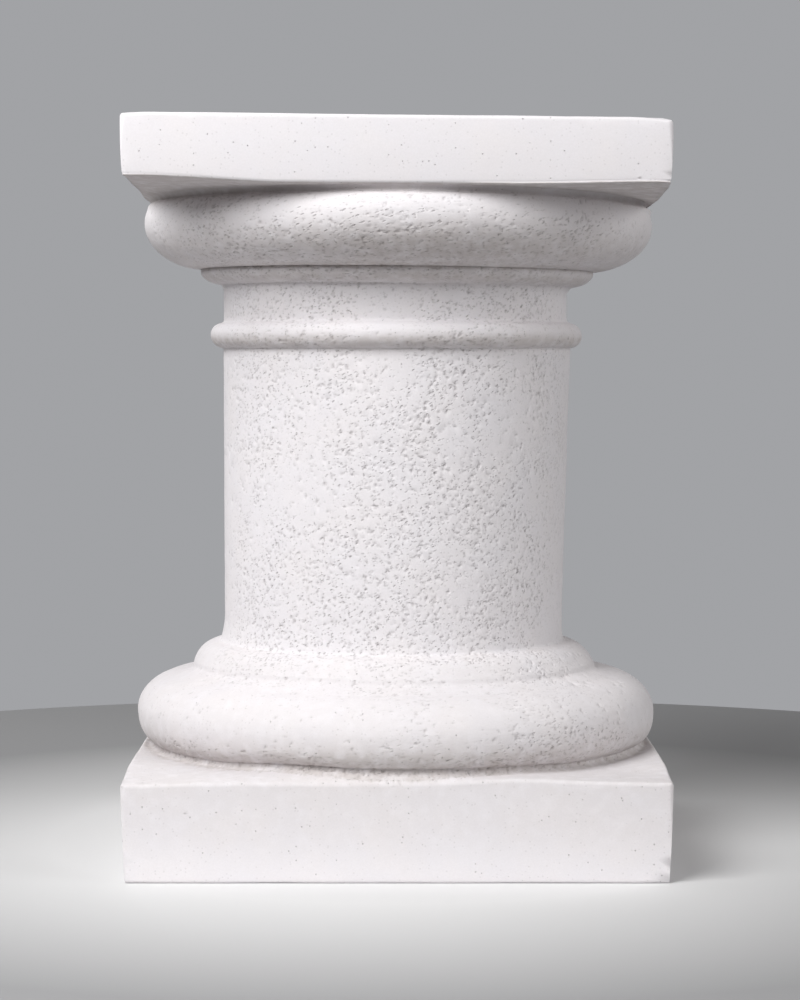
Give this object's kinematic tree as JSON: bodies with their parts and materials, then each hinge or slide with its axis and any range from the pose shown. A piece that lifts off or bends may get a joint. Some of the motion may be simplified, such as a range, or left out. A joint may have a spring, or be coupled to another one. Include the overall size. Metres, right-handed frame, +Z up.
{
  "type": "doric column",
  "caption": "Short plain doric column cast in one piece, with a square plinth, round base mouldings and a square abacus that carries a pot, lamp or bust.",
  "frame": {"origin": "centre of the plinth's underside, on the ground", "axes": "+Z up along the column's axis, X and Y square to the faces of the plinth and abacus, -Y to the front"},
  "size_m": [0.254, 0.254, 0.3473],
  "materials": {
    "cast_stone": "matte"
  },
  "bodies": {
    "root": {"column": "cast_stone"}
  },
  "joints": []
}
